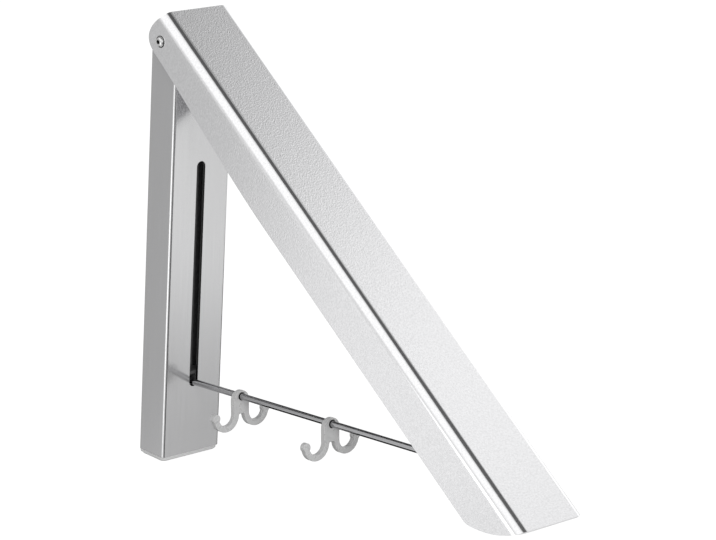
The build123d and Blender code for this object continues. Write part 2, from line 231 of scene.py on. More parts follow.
class FinishSettings(PropertyGroup):
    """Colours of the finishes."""

    arm: colour("Arm", "Bead-blasted aluminium of the arm", (0.84, 0.84, 0.85))
    housing: colour("Housing", "Satin aluminium of the housing", (0.6, 0.6, 0.605))
    cap: colour("Caps", "Pale plastic of the end caps", (0.64, 0.64, 0.64))
    hook: colour("Hooks", "Pale plastic of the hooks", (0.62, 0.62, 0.62))
    chrome: colour("Chrome", "Plating of the rod", (0.44, 0.44, 0.45))
    screw: colour("Screws", "Turned steel of screws and pins", (0.66, 0.66, 0.66))
    plate: colour("Plates", "Zinc plating of plates and bracket", (0.55, 0.56, 0.57))
    black: colour("Slider", "Black plastic of the slider and its track", (0.055, 0.055, 0.056))
    nylon: colour("Bushes", "Natural nylon of the bushes", (0.72, 0.71, 0.67))


class StageSettings(PropertyGroup):
    """Camera, lamps, world and floor."""

    azimuth: bearing("Azimuth", "The camera's azimuth", -43.53999)
    elevation: bearing("Elevation", "The camera's elevation", 16.59388)
    roll: bearing("Roll", "The camera's roll", 2.95503)
    camera_place: position("Camera Place", "Where the camera stands", (-1.01355, -1.2101, 0.46434))
    focal_length: share("Focal Length", "The lens in millimetres on a 36 mm sensor", 154.15247)
    floor_drop: size("Floor Drop", "Height of the rack's origin over the floor", 900)
    floor_size: size("Floor Size", "Width of the floor", 30000)
    tent_radius: size("Tent Radius", "Radius of the dome that reflections see", 700)
    tent_place: position("Tent Place", "The dome's centre", (0, -0.12, 0))
    world_level: share("World Level", "Strength of the world as a light", 0.55)
    key_power: share("Key Power", "Power of the key lamp in watts", 5.0)
    fill_power: share("Fill Power", "Power of the fill lamp in watts", 1.5)


class RackSettings(PropertyGroup):
    """All the settings of the drying rack."""

    housing: PointerProperty(type=HousingSettings)
    arm: PointerProperty(type=ArmSettings)
    rod: PointerProperty(type=RodSettings)
    hook: PointerProperty(type=HookSettings)
    screw: PointerProperty(type=ScrewSettings)
    finish: PointerProperty(type=FinishSettings)
    stage: PointerProperty(type=StageSettings)


def add_node(tree, kind, inputs=None, **properties):
    """Add a node, set its properties, and link or set the inputs that are named."""
    node = tree.nodes.new(kind)
    for key, value in properties.items():
        setattr(node, key, value)
    for key, value in (inputs or {}).items():
        if isinstance(value, bpy.types.NodeSocket):
            tree.links.new(value, node.inputs[key])
        else:
            node.inputs[key].default_value = value
    return node


def maths(tree, operation, first, second):
    """The result of a calculation with two numbers."""
    inputs = {0: first, 1: second}
    return add_node(tree, "ShaderNodeMath", inputs, operation=operation).outputs[0]


def vector_maths(tree, operation, inputs, result="Vector"):
    """The result of a calculation with vectors."""
    return add_node(tree, "ShaderNodeVectorMath", inputs, operation=operation).outputs[result]


def mapped(tree, value, low, high, start=0.0, end=1.0, **properties):
    """A number that runs from low to high as a value runs from start to end."""
    inputs = {"Value": value, "From Min": start, "From Max": end, "To Min": low, "To Max": high}
    return add_node(tree, "ShaderNodeMapRange", inputs, **properties).outputs["Result"]


# Materials


class Surface:
    """A Principled material whose textures read Object coordinates."""

    def __init__(self, name, **constants):
        self.material = bpy.data.materials.new(name)
        self.material.use_nodes = True
        self.tree = self.material.node_tree
        self.shader = self.tree.nodes["Principled BSDF"]
        self.place = add_node(self.tree, "ShaderNodeTexCoord").outputs["Object"]
        for key, value in constants.items():
            self.shader.inputs[key.replace("_", " ")].default_value = value

    def link(self, socket, value):
        """Link a texture to the shader."""
        self.tree.links.new(value, self.shader.inputs[socket])

    def attribute(self, name):
        """A number that the mesh carries."""
        return add_node(self.tree, "ShaderNodeAttribute", attribute_name=name).outputs["Fac"]

    def noise(self, scale, detail=2.0, stretch=(1, 1, 1)):
        """Noise with features of about one over scale metres, stretched along an axis."""
        mapping = add_node(
            self.tree, "ShaderNodeMapping", {"Vector": self.place, "Scale": stretch}
        )
        inputs = {"Vector": mapping.outputs["Vector"], "Scale": scale, "Detail": detail}
        return add_node(self.tree, "ShaderNodeTexNoise", inputs).outputs["Fac"]

    def ramp(self, factor, low, high, dark, light):
        """A colour that runs from dark to light as the factor goes from low to high."""
        ramp = add_node(self.tree, "ShaderNodeValToRGB", {"Fac": factor})
        first, last = ramp.color_ramp.elements
        first.position, first.color = low, (*dark, 1)
        last.position, last.color = high, (*light, 1)
        return ramp.outputs["Color"]

    def blotches(self, base, spread, scale, stretch=(1, 1, 1), detail=3.0):
        """Base colour that varies by a share of itself, with painted shade that makes it nearly
        black on faces marked as dark hollows.
        """
        dark = [channel * (1 - spread) for channel in base]
        light = [min(1, channel * (1 + spread)) for channel in base]
        shade = self.ramp(self.noise(scale, detail, stretch), *NOISE_SPAN, dark, light)
        kept = mapped(self.tree, self.attribute(PAINTED_SHADE), 1.0, PAINTED_SHADE_KEPT)
        self.link("Base Color", vector_maths(self.tree, "SCALE", {0: shade, "Scale": kept}))

    def rough(self, low, high, *noise):
        """Roughness that a noise moves between two limits."""
        self.link("Roughness", mapped(self.tree, self.noise(*noise), low, high, *NOISE_SPAN))

    def bump(self, height, distance, strength):
        """Relief of a depth in metres from a height between 0 and 1."""
        inputs = {"Height": height, "Distance": distance, "Strength": strength}
        self.link("Normal", add_node(self.tree, "ShaderNodeBump", inputs).outputs["Normal"])

    def relief(self, distance, strength, *noise):
        """Relief of a depth in metres from a noise."""
        self.bump(self.noise(*noise), distance, strength)


def blasted_aluminium(finish):
    """Arm: grainy from bead blasting, with smoother rolled corners."""
    surface = Surface("bead_blasted_aluminium", Metallic=0.9)
    tree = surface.tree
    polish = surface.attribute(ROLLED)
    surface.blotches(finish.arm, 0.05, 1100, detail=1.0)
    blasted = mapped(tree, surface.noise(900), 0.24, 0.3, *NOISE_SPAN)
    surface.link("Roughness", mapped(tree, polish, blasted, 0.14))
    surface.bump(mapped(tree, polish, surface.noise(1300, 1.0), 0.5), 0.0002, 1.0)
    return surface.material


def satin_aluminium(finish):
    """Housing: anodised extrusion with faint lines along its height."""
    surface = Surface("satin_aluminium", Metallic=0.8)
    surface.blotches(finish.housing, 0.02, 1500, stretch=(1, 1, 0.02))
    surface.rough(0.13, 0.17, 700, 2, (1, 1, 0.05))
    surface.relief(0.000004, 0.2, 1800, 2, (1, 1, 0.1))
    return surface.material


def cap_plastic(finish):
    """End caps: pale plastic with a fine moulded texture."""
    surface = Surface("cap_plastic", Specular_IOR_Level=0.45)
    surface.blotches(finish.cap, 0.03, 500)
    surface.rough(0.38, 0.5, 900)
    surface.relief(0.00002, 0.5, 2200, 3)
    return surface.material


def hook_plastic(finish):
    """Hooks: translucent plastic, a little cloudy inside."""
    surface = Surface("hook_plastic", Transmission_Weight=0.15, IOR=1.46)
    surface.blotches(finish.hook, 0.03, 260)
    surface.rough(0.26, 0.32, 400)
    return surface.material


def rod_chrome(finish):
    """Rod: bright plating with fine lines round it."""
    surface = Surface("rod_chrome", Metallic=1.0)
    surface.blotches(finish.chrome, 0.04, 900)
    surface.rough(0.1, 0.2, 1500, 2, (1, 0.05, 1))
    surface.relief(0.00001, 0.3, 2500)
    return surface.material


def turned_steel(finish):
    """Screws and pins: bright steel with fine turning marks."""
    surface = Surface("turned_steel", Metallic=1.0)
    surface.blotches(finish.screw, 0.06, 1500)
    surface.rough(0.22, 0.36, 2500)
    surface.relief(0.00002, 0.4, 3500)
    return surface.material


def zinc_plate(finish):
    """Wall plates and bracket: plated sheet with a faint spangle."""
    surface = Surface("zinc_plate", Metallic=0.85)
    inputs = {"Vector": surface.place, "Scale": 420.0}
    cells = add_node(surface.tree, "ShaderNodeTexVoronoi", inputs).outputs["Color"]
    light = [min(1, channel * 1.12) for channel in finish.plate]
    dark = [channel * 0.88 for channel in finish.plate]
    surface.link("Base Color", surface.ramp(cells, 0.2, 0.9, dark, light))
    surface.rough(0.3, 0.46, 500)
    surface.relief(0.00003, 0.5, 1800, 3)
    return surface.material


def black_plastic(finish):
    """Slider and track: black acetal, slightly polished where it runs."""
    surface = Surface("black_plastic", Specular_IOR_Level=0.4)
    surface.blotches(finish.black, 0.25, 700)
    surface.rough(0.36, 0.55, 400)
    surface.relief(0.00003, 0.5, 2500, 3)
    return surface.material


def bush_nylon(finish):
    """Bushes: natural nylon."""
    surface = Surface("bush_nylon", Subsurface_Weight=0.3, Subsurface_Scale=0.001)
    surface.blotches(finish.nylon, 0.03, 600)
    surface.rough(0.4, 0.55, 800)
    surface.relief(0.00002, 0.4, 2500)
    return surface.material


RECIPES = {
    "arm_aluminium": blasted_aluminium,
    "housing_aluminium": satin_aluminium,
    "cap_plastic": cap_plastic,
    "hook_plastic": hook_plastic,
    "rod_chrome": rod_chrome,
    "screw_steel": turned_steel,
    "plate_steel": zinc_plate,
    "black_plastic": black_plastic,
    "bush_nylon": bush_nylon,
}
materials = {}


def material_for(slot_name, finish):
    """The material of one of the record's slots, made when it is first asked for."""
    if slot_name not in materials:
        materials[slot_name] = RECIPES[slot_name](finish)
    return materials[slot_name]


# Meshes


def heading(origin, target):
    """The angle of the direction from one point to another."""
    return atan2(target[1] - origin[1], target[0] - origin[0])


def arc(centre, radius, start, end, steps):
    """Points on an arc between two angles, both ends included."""
    angles = [start + (end - start) * step / steps for step in range(steps + 1)]
    return [(centre[0] + radius * cos(a), centre[1] + radius * sin(a)) for a in angles]


def cubic(first, second, third, last, steps):
    """Points on a Bezier curve, both ends included."""
    points = []
    for t in (step / steps for step in range(steps + 1)):
        weights = ((1 - t) ** 3, 3 * t * (1 - t) ** 2, 3 * t * t * (1 - t), t**3)
        pairs = list(zip(weights, (first, second, third, last)))
        points.append(tuple(sum(w * point[axis] for w, point in pairs) for axis in (0, 1)))
    return points


def evenly(points, count):
    """Points at equal distances along a path, both ends included."""
    path = [Vector(point) for point in points]
    reach = [0.0]
    for before, after in zip(path, path[1:]):
        reach.append(reach[-1] + (after - before).length)
    spaced = []
    segment = 0
    for step in range(count + 1):
        wanted = reach[-1] * step / count
        while segment < len(path) - 2 and reach[segment + 1] < wanted:
            segment += 1
        span = reach[segment + 1] - reach[segment]
        spaced.append(path[segment].lerp(path[segment + 1], (wanted - reach[segment]) / span))
    return spaced


def ring(radius, steps, sides=0):
    """A circle, or a polygon with that radius over its flats, with the same steps."""
    points = []
    for step in range(steps):
        angle = 2 * pi * step / steps
        reach = radius
        if sides:
            reach = radius / cos(angle % (2 * pi / sides) - pi / sides)
        points.append((reach * cos(angle), reach * sin(angle)))
    return points


def skin(mesh, loops, wrap=False):
    """Faces between loops of equal length. Wrap joins the last loop to the first."""
    rings = [[mesh.verts.new(point) for point in loop] for loop in loops]
    pairs = list(zip(rings, rings[1:]))
    if wrap:
        pairs.append((rings[-1], rings[0]))
    for lower, upper in pairs:
        for here in range(len(lower)):
            after = (here + 1) % len(lower)
            mesh.faces.new((lower[here], lower[after], upper[after], upper[here]))
    return rings


def outward(mesh):
    """Merge doubles and turn all faces outwards."""
    bmesh.ops.remove_doubles(mesh, verts=mesh.verts, dist=OWN_MERGE)
    bmesh.ops.recalc_face_normals(mesh, faces=mesh.faces)


def at_height(outline, height):
    """An outline of X and Y as a loop at a height."""
    return [Vector((x, y, height)) for x, y in outline]


def piece_from(mesh, name):
    """A linked object from a finished bmesh."""
    data = bpy.data.meshes.new(name)
    mesh.to_mesh(data)
    mesh.free()
    piece = bpy.data.objects.new(name, data)
    bpy.context.scene.collection.objects.link(piece)
    return piece


def baked(piece):
    """Replace a piece's mesh by its evaluated one and drop its modifiers."""
    evaluated = piece.evaluated_get(bpy.context.evaluated_depsgraph_get())
    data = bpy.data.meshes.new_from_object(evaluated)
    piece.modifiers.clear()
    old = piece.data
    piece.data = data
    bpy.data.meshes.remove(old)
    data.name = piece.name


def smooth(piece, angle=30, edge=0.0):
    """Smooth shading up to an angle, with broken edges of a width."""
    piece.data.shade_smooth()
    if edge:
        bevel = piece.modifiers.new("Broken edges", "BEVEL")
        bevel.width = edge
        bevel.segments = 3
        bevel.limit_method = "ANGLE"
        bevel.angle_limit = radians(angle)
        bevel.miter_outer = "MITER_ARC"
    else:
        piece.data.set_sharp_from_angle(angle=radians(angle))
    weighted = piece.modifiers.new("Flat faces stay flat", "WEIGHTED_NORMAL")
    weighted.keep_sharp = True
    weighted.weight = 80


def dress(piece, body, slot_name, finish, *nodes):
    """Give a piece its material and its body, and hide the CAD nodes that it stands for."""
    piece.data.materials.clear()
    piece.data.materials.append(material_for(slot_name, finish))
    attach(piece, body)
    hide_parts(*nodes)


def cut(piece, cutter):
    """Subtract a cutter from a piece and delete it."""
    difference = piece.modifiers.new("Cut", "BOOLEAN")
    difference.operation = "DIFFERENCE"
    difference.solver = "EXACT"
    difference.object = cutter
    baked(piece)
    bpy.data.objects.remove(cutter)


def prism(name, outline, place, low, high):
    """A closed prism: an outline of two coordinates, placed at two distances."""
    mesh = bmesh.new()
    loops = [[place(x, y, distance) for x, y in outline] for distance in (low, high)]
    for loop in skin(mesh, loops):
        mesh.faces.new(loop)
    outward(mesh)
    return piece_from(mesh, name)


# Pieces finished from their CAD shape: body, material slot, broken edge in millimetres
REFINED = {
    "top_cap": ("root", "cap_plastic", 0.08),
    "bottom_cap": ("root", "cap_plastic", 0.08),
    "wall_plate_lower": ("root", "plate_steel", 0.2),
    "wall_plate_upper": ("root", "plate_steel", 0.2),
    "slide_track_left": ("root", "black_plastic", 0.2),
    "slide_track_right": ("root", "black_plastic", 0.2),
    "slider": ("slider", "black_plastic", 0.15),
    "pivot_barrel": ("arm", "screw_steel", 0.1),
    "pivot_bush_left": ("root", "bush_nylon", 0.08),
    "pivot_bush_right": ("root", "bush_nylon", 0.08),
    "rod_bracket": ("arm", "plate_steel", 0.15),
    "rod_pin": ("arm", "screw_steel", 0.15),
    "rod_pin_clip": ("arm", "screw_steel", 0.08),
}


def refined(node, finish, reshape=None):
    """A copy of a CAD node with merged faces, broken edges and smooth curves."""
    body, slot_name, edge = REFINED[node]
    mesh = bmesh.new()
    mesh.from_mesh(frame["nodes"][node].data)
    bmesh.ops.remove_doubles(mesh, verts=mesh.verts, dist=CAD_MERGE)
    bmesh.ops.dissolve_limit(
        mesh, angle_limit=SAME_FACE, verts=mesh.verts, edges=mesh.edges
    )
    if reshape:
        reshape(mesh)
    piece = piece_from(mesh, f"{node}_finished")
    smooth(piece, 35, edge * MM)
    dress(piece, body, slot_name, finish, node)


def housing_section(sizes, half_width, depth):
    """The housing's section, X across and Y from the wall outwards."""
    wall, outer, inner = sizes.wall, sizes.corner, sizes.inner_corner
    lip_end = half_width - wall - sizes.lip_width
    half = [
        (lip_end, 0),
        (half_width, 0),
        *arc((half_width - outer, depth - outer), outer, 0, pi / 2, steps=8),
    ]
    inside = [
        *arc((half_width - wall - inner, depth - wall - inner), inner, pi / 2, 0, steps=4),
        (half_width - wall, sizes.lip_thickness),
        (lip_end, sizes.lip_thickness),
    ]
    mirrored, mirrored_inside = ([(-x, y) for x, y in path[::-1]] for path in (half, inside))
    return half + mirrored + mirrored_inside + inside


class DRYRACK_OT_housing(Operator):
    """Build the aluminium housing with its slot and pivot holes"""

    bl_idname = "drying_rack.housing"
    bl_label = "Housing"

    def execute(self, context):
        settings = context.scene.drying_rack
        sizes = settings.housing
        bottom = housing_low.z
        section = housing_section(sizes, housing_high.x, -housing_low.y)
        housing = prism(
            "housing_channel", section, lambda x, y, z: (x, -y, z), bottom, housing_high.z
        )
        half = sizes.slot_width / 2
        slot = arc((0, bottom + sizes.slot_top - half), half, 0, pi, steps=16)
        slot += arc((0, bottom + sizes.slot_bottom + half), half, pi, 2 * pi, steps=16)
        front = housing_low.y
        inside = front + sizes.wall
        slot_ends = (front - sizes.wall, inside + sizes.wall)
        cut(housing, prism("slot_cutter", slot, lambda x, z, y: (x, y, z), *slot_ends))
        circle_points = ring(sizes.pivot_hole, steps=32)
        hole = [(y + pivot_point.y, z + pivot_point.z) for y, z in circle_points]
        reach = 2 * housing_high.x
        cut(housing, prism("hole_cutter", hole, lambda y, z, x: (x, y, z), -reach, reach))
        # Painted shade: the slot's cut walls are made nearly black.
        painted_shade = housing.data.attributes.new(PAINTED_SHADE, "FLOAT", "FACE")
        for face in housing.data.polygons:
            in_slot = abs(face.center.x) < half + MM and face.center.y < inside
            painted_shade.data[face.index].value = float(in_slot and abs(face.normal.y) < 0.5)
        smooth(housing, 30, sizes.edge)
        dress(housing, "root", "housing_aluminium", settings.finish, "housing")
        return {"FINISHED"}


def squared_at_wall(mesh, sizes, outer_level):
    """Draw the corners of a cap's flange that touch the wall out to square ones."""
    to_centre = sizes.cap_inset + sizes.cap_corner
    centre = Vector((housing_high.x - to_centre, -to_centre))
    for vertex in mesh.verts:
        offset = Vector((abs(vertex.co.x), vertex.co.y)) - centre
        on_rim = offset.length > sizes.cap_corner - 10 * CLOSE
        on_outer_face = abs(vertex.co.z - outer_level) < CLOSE
        if min(offset) > CLOSE and (on_rim or on_outer_face):
            square = centre + offset * (offset.length / max(offset))
            vertex.co.x = copysign(square.x, vertex.co.x)
            vertex.co.y = square.y


class DRYRACK_OT_caps(Operator):
    """Finish the two plastic end caps"""

    bl_idname = "drying_rack.caps"
    bl_label = "End Caps"

    def execute(self, context):
        settings = context.scene.drying_rack
        for node, side in (("top_cap", max), ("bottom_cap", min)):
            outer_level = side(vertex.co.z for vertex in frame["nodes"][node].data.vertices)

            def reshape(mesh, level=outer_level):
                squared_at_wall(mesh, settings.housing, level)

            refined(node, settings.finish, reshape)
        return {"FINISHED"}


class DRYRACK_OT_wall_plates(Operator):
    """Finish the two steel plates that the housing hooks over"""

    bl_idname = "drying_rack.wall_plates"
    bl_label = "Wall Plates"

    def execute(self, context):
        for node in ("wall_plate_lower", "wall_plate_upper"):
            refined(node, context.scene.drying_rack.finish)
        return {"FINISHED"}


class DRYRACK_OT_slide(Operator):
    """Finish the slider and the two strips that it runs in"""

    bl_idname = "drying_rack.slide"
    bl_label = "Slider and Track"

    def execute(self, context):
        for node in ("slide_track_left", "slide_track_right", "slider"):
            refined(node, context.scene.drying_rack.finish)
        return {"FINISHED"}


def arm_outline(sizes):
    """The arm's side outline: its upper end, lower edge and lower end, from the top down."""
    top, start, pivot_low = sizes.top, sizes.start, -sizes.pivot_depth
    lobe = cubic(
        (start, sizes.lobe_start),
        (start - sizes.lobe_upper_reach, sizes.lobe_upper_height),
        (start - sizes.lobe_reach, pivot_low),
        (0, pivot_low),
        steps=60,
    )
    lower_edge = cubic(
        (0, pivot_low),
        (sizes.taper_near, pivot_low - sizes.taper_dip),
        (sizes.taper_far, -sizes.depth),
        (sizes.deepest, -sizes.depth),
        steps=40,
    )
    corner = Vector((sizes.end - sizes.end_cut, -sizes.end_depth))
    lower_end = bulging((sizes.end, top), tuple(corner), sizes.end_bulge, steps=60)
    trim = sizes.end_radius * CORNER_TRIM
    end_path = [point for point in lower_end if (Vector(point) - corner).length > trim]
    edge_end = corner + Vector((-trim, 0))
    rounding = cubic(end_path[-1], tuple(corner), tuple(corner), tuple(edge_end), steps=8)
    lower_edge.append(tuple(edge_end))
    return [(start, top), *lobe], lower_edge, end_path + rounding[1:]


def bulging(start, end, bulge, steps):
    """Points on the arc from start to end that bulges to the left by a height."""
    chord = Vector(end) - Vector(start)
    half = chord.length / 2
    radius = (half * half + bulge * bulge) / (2 * bulge)
    left = Vector((-chord.y, chord.x)).normalized()
    centre = Vector(start) + chord / 2 + left * (bulge - radius)
    return arc(centre, radius, heading(centre, start), heading(centre, end), steps)


def split_at(path, height):
    """A path that falls, split at a height: the part above and the part below."""
    for index, (before, after) in enumerate(zip(path, path[1:])):
        if after[1] <= height:
            share_down = (before[1] - height) / (before[1] - after[1])
            crossing = (before[0] + (after[0] - before[0]) * share_down, height)
            return path[: index + 1] + [crossing], [crossing] + path[index + 1 :]
    raise ValueError("the path doesn't reach that height")


def along_at(path, height):
    """The place along at which a falling path passes a height."""
    return split_at(path, height)[1][0][0] if height < path[0][1] else path[0][0]


def arm_rows(sizes, rows=14, corner_rows=12):
    """The arm's skin as rows of (along, height, across), from the top face's edge down."""
    upper_end, lower_edge, lower_end = arm_outline(sizes)
    knee = sizes.top - sizes.corner
    flat_half = arm_half_width - sizes.corner
    shares = [column / sizes.columns for column in range(sizes.columns + 1)]
    skin_rows = []
    for step in range(corner_rows + 1):
        angle = pi / 2 * (1 - step / corner_rows)
        height = knee + sizes.corner * sin(angle)
        across = flat_half + sizes.corner * cos(angle)
        first, last = along_at(upper_end, height), along_at(lower_end, height)
        skin_rows.append([(first + (last - first) * t, height, across) for t in shares])
    left = evenly(split_at(upper_end, knee)[1], rows)
    right = evenly(split_at(lower_end, knee)[1], rows)
    bottom = evenly(lower_edge, sizes.columns)
    for row in range(1, rows + 1):
        s = row / rows
        points = []
        for column, t in enumerate(shares):
            top_point = left[0].lerp(right[0], t)
            corners = top_point.lerp(bottom[0].lerp(bottom[-1], t), s)
            between_ends = left[row].lerp(right[row], t)
            point = top_point.lerp(bottom[column], s) + between_ends - corners
            points.append((point.x, point.y, arm_half_width))
        skin_rows.append(points)
    return skin_rows


class DRYRACK_OT_arm(Operator):
    """Build the aluminium arm from its side outline and its rounded section"""

    bl_idname = "drying_rack.arm"
    bl_label = "Arm"

    def execute(self, context):
        settings = context.scene.drying_rack
        sizes = settings.arm
        half = arm_rows(sizes)
        rows = [[(u, v, -x) for u, v, x in row] for row in reversed(half)] + half
        mesh = bmesh.new()
        rolled = mesh.verts.layers.float.new(ROLLED)
        knee = sizes.top - sizes.corner
        reach = max(u for row in rows for u, v, x in row)
        grid = []
        for row in rows:
            line = []
            for u, v, x in row:
                vertex = mesh.verts.new(
                    pivot_point + arm_direction * u + arm_upward * v + ACROSS * x
                )
                if v > sizes.top - CLOSE:
                    vertex[rolled] = sizes.fading * u / reach
                else:
                    vertex[rolled] = 1.0 if v > knee + CLOSE else sizes.side_polish
                line.append(vertex)
            grid.append(line)
        for lower, upper in zip(grid, grid[1:]):
            for here in range(sizes.columns):
                mesh.faces.new((lower[here], lower[here + 1], upper[here + 1], upper[here]))
        bmesh.ops.recalc_face_normals(mesh, faces=mesh.faces)
        mesh.faces.ensure_lookup_table()
        web = mesh.faces[(len(rows) // 2 - 1) * sizes.columns]
        if web.normal.dot(arm_upward) < 0:
            bmesh.ops.reverse_faces(mesh, faces=mesh.faces)
        arm = piece_from(mesh, "arm_cover")
        wall = arm.modifiers.new("Wall", "SOLIDIFY")
        wall.thickness = sizes.wall
        wall.offset = -1
        wall.use_even_offset = True
        baked(arm)
        smooth(arm, 50, sizes.edge)
        dress(arm, "arm", "arm_aluminium", settings.finish, "arm_channel")
        return {"FINISHED"}


def screw_loops(sizes, head_height, rim, shank_length, steps=48):
    """Loops of a screw along Z: its head above 0 and its shank below."""
    core = sizes.shank_radius - sizes.thread_depth
    # A ring under the head, out to this radius, stands for the shade round the head; it gets
    # painted shade.
    washer = sizes.head_radius + sizes.washer
    flat = sizes.socket / 2
    outside = [
        (core / 2, -shank_length),
        (core, core / 2 - shank_length),
        (core, 0),
        (washer, 0),
        (washer, sizes.washer_height),
        (sizes.head_radius, sizes.washer_height),
        *arc((sizes.head_radius - rim, head_height - rim), rim, 0, pi / 2, steps=8),
    ]
    socket = [
        (flat + SOCKET_EDGE, head_height),
        (flat, head_height - SOCKET_EDGE),
        (flat, head_height - sizes.socket_depth),
    ]
    return [
        at_height(ring(radius, steps, sides), height)
        for sides, loops in ((0, outside), (6, socket))
        for radius, height in loops
    ]


def new_tree(name, **kinds):
    """A Geometry Nodes tree with inputs of these kinds, its sockets and what they give."""
    tree = bpy.data.node_groups.new(name, "GeometryNodeTree")
    sockets = {}
    for kind, labels in kinds.items():
        for label in labels:
            sockets[label] = tree.interface.new_socket(
                label, in_out="INPUT", socket_type=f"NodeSocket{kind}"
            )
    tree.interface.new_socket("Geometry", in_out="OUTPUT", socket_type="NodeSocketGeometry")
    return tree, sockets, add_node(tree, "NodeGroupInput").outputs


def circle(tree, radius, steps):
    """A circle as a curve."""
    inputs = {"Resolution": steps, "Radius": radius}
    return add_node(tree, "GeometryNodeCurvePrimitiveCircle", inputs).outputs["Curve"]


def rod_line(tree, given):
    """The straight line between the rod's two ends."""
    inputs = {"Start": given["Start"], "End": given["End"]}
    return add_node(tree, "GeometryNodeCurvePrimitiveLine", inputs).outputs["Curve"]


def swept(tree, path, section, caps=False):
    """A mesh swept along a curve, with another curve as its section."""
    inputs = {"Curve": path, "Profile Curve": section, "Fill Caps": caps}
    return add_node(tree, "GeometryNodeCurveToMesh", inputs).outputs["Mesh"]


def moved(tree, geometry, place, turn=(0, 0, 0)):
    """Geometry that is turned and then moved."""
    inputs = {"Geometry": geometry, "Translation": place, "Rotation": turn}
    return add_node(tree, "GeometryNodeTransform", inputs).outputs["Geometry"]


def joined(tree, *parts):
    """Several geometries as one."""
    node = add_node(tree, "GeometryNodeJoinGeometry")
    for part in parts:
        tree.links.new(part, node.inputs["Geometry"])
    return node.outputs["Geometry"]


def screw_thread_tree():
    """Geometry Nodes: add a helical thread to a screw's shank and set its material."""
    tree, sockets, given = new_tree(
        "Screw thread",
        Geometry=["Geometry"],
        Float=["Radius", "Depth", "Length", "Pitch", "Start"],
        Material=["Material"],
    )
    helix = add_node(
        tree,
        "GeometryNodeCurveSpiral",
        {
            "Resolution": 24,
            "Rotations": maths(tree, "DIVIDE", given["Length"], given["Pitch"]),
            "Start Radius": given["Radius"],
            "End Radius": given["Radius"],
            "Height": given["Length"],
        },
    )
    section = circle(tree, given["Depth"], steps=4)
    ridge = swept(tree, helix.outputs["Curve"], section, caps=True)
    start = add_node(tree, "ShaderNodeCombineXYZ", {"Z": given["Start"]}).outputs["Vector"]
    whole = joined(tree, given["Geometry"], moved(tree, ridge, start))
    close_tree(tree, whole, given["Material"])
    return tree, sockets


def close_tree(tree, geometry, material_socket):
    """End a tree: realize what is instanced, set the material and output it."""
    real = add_node(tree, "GeometryNodeRealizeInstances", {"Geometry": geometry})
    inputs = {"Geometry": real.outputs["Geometry"], "Material": material_socket}
    painted = add_node(tree, "GeometryNodeSetMaterial", inputs)
    add_node(tree, "NodeGroupOutput", {"Geometry": painted.outputs["Geometry"]})


def run_tree(piece, tree, sockets, values):
    """Run a tree on a piece with named values, and keep the result as its mesh."""
    modifier = piece.modifiers.new(tree.name, "NODES")
    modifier.node_group = tree
    for name, value in values.items():
        modifier[sockets[name].identifier] = value
    baked(piece)


def screw_piece(name, sizes, head_height, rim, shank_length, place, steel, thread):
    """A screw with a threaded shank, put in its place."""
    mesh = bmesh.new()
    rings = skin(mesh, screw_loops(sizes, head_height, rim, shank_length))
    mesh.faces.new(rings[0])
    mesh.faces.new(rings[-1])
    outward(mesh)
    # Painted shade: the faces inside the socket and on the ring under the head are made nearly
    # black.
    painted_shade = mesh.faces.layers.float.new(PAINTED_SHADE)
    socket_floor = head_height - sizes.socket_depth - CLOSE
    for face in mesh.faces:
        height = face.calc_center_median().z
        reach = max(vertex.co.xy.length for vertex in face.verts)
        in_socket = height > socket_floor and reach < SOCKET_REACH * sizes.socket
        on_shade_ring = height >= 0 and reach > sizes.head_radius + sizes.washer / 2
        face[painted_shade] = float(in_socket or on_shade_ring)
    screw = piece_from(mesh, name)
    values = {
        "Radius": sizes.shank_radius - sizes.thread_depth,
        "Depth": sizes.thread_depth,
        "Length": shank_length - 3 * sizes.pitch,
        "Pitch": sizes.pitch,
        "Start": -shank_length + 2 * sizes.pitch,
        "Material": steel,
    }
    run_tree(screw, *thread, values)
    screw.data.transform(place)
    return screw


def joined_pieces(name, pieces):
    """One object from several."""
    mesh = bmesh.new()
    for piece in pieces:
        mesh.from_mesh(piece.data)
        bpy.data.objects.remove(piece)
    return piece_from(mesh, name)


class DRYRACK_OT_pivot(Operator):
    """Build the pivot screws and finish the pivot's barrel and bushes"""

    bl_idname = "drying_rack.pivot"
    bl_label = "Pivot"

    def execute(self, context):
        settings = context.scene.drying_rack
        sizes = settings.screw
        finish = settings.finish
        shared = (material_for("screw_steel", finish), screw_thread_tree())
        inner_face, outer_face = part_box("pivot_screw_right")
        head = (sizes.head_height, sizes.dome)
        shank_length = outer_face.x - sizes.head_height - inner_face.x
        screws = []
        for side in (-1, 1):
            place = Matrix.Translation((side * arm_half_width, pivot_point.y, pivot_point.z))
            place @= Matrix.Rotation(side * pi / 2, 4, "Y")
            screws.append(
                screw_piece(f"screw_{side}", sizes, *head, shank_length, place, *shared)
            )
        pair = joined_pieces("pivot_screws", screws)
        smooth(pair, 35)
        dress(pair, "arm", "screw_steel", finish, "pivot_screw_left", "pivot_screw_right")

        low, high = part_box("locking_screw")
        seat = low.z + sizes.lock_height
        head = (sizes.lock_height, sizes.lock_rim)
        place = Matrix.Translation((0, (low.y + high.y) / 2, seat))
        place @= Matrix.Rotation(pi, 4, "X")
        locking = screw_piece(
            "locking_screw_threaded", sizes, *head, high.z - seat, place, *shared
        )
        smooth(locking, 35)
        dress(locking, "root", "screw_steel", finish, "locking_screw")

        for node in ("pivot_barrel", "pivot_bush_left", "pivot_bush_right"):
            refined(node, finish)
        return {"FINISHED"}


class DRYRACK_OT_bracket(Operator):
    """Finish the bracket, pin and clip that carry the rod's outer end"""

    bl_idname = "drying_rack.bracket"
    bl_label = "Rod Bracket"

    def execute(self, context):
        for node in ("rod_bracket", "rod_pin", "rod_pin_clip"):
            refined(node, context.scene.drying_rack.finish)
        return {"FINISHED"}


# The rod tree's inputs for its sizes, and the settings that fill them
ROD_INPUTS = {name.replace("_", " ").title(): name for name in RodSettings.__annotations__}


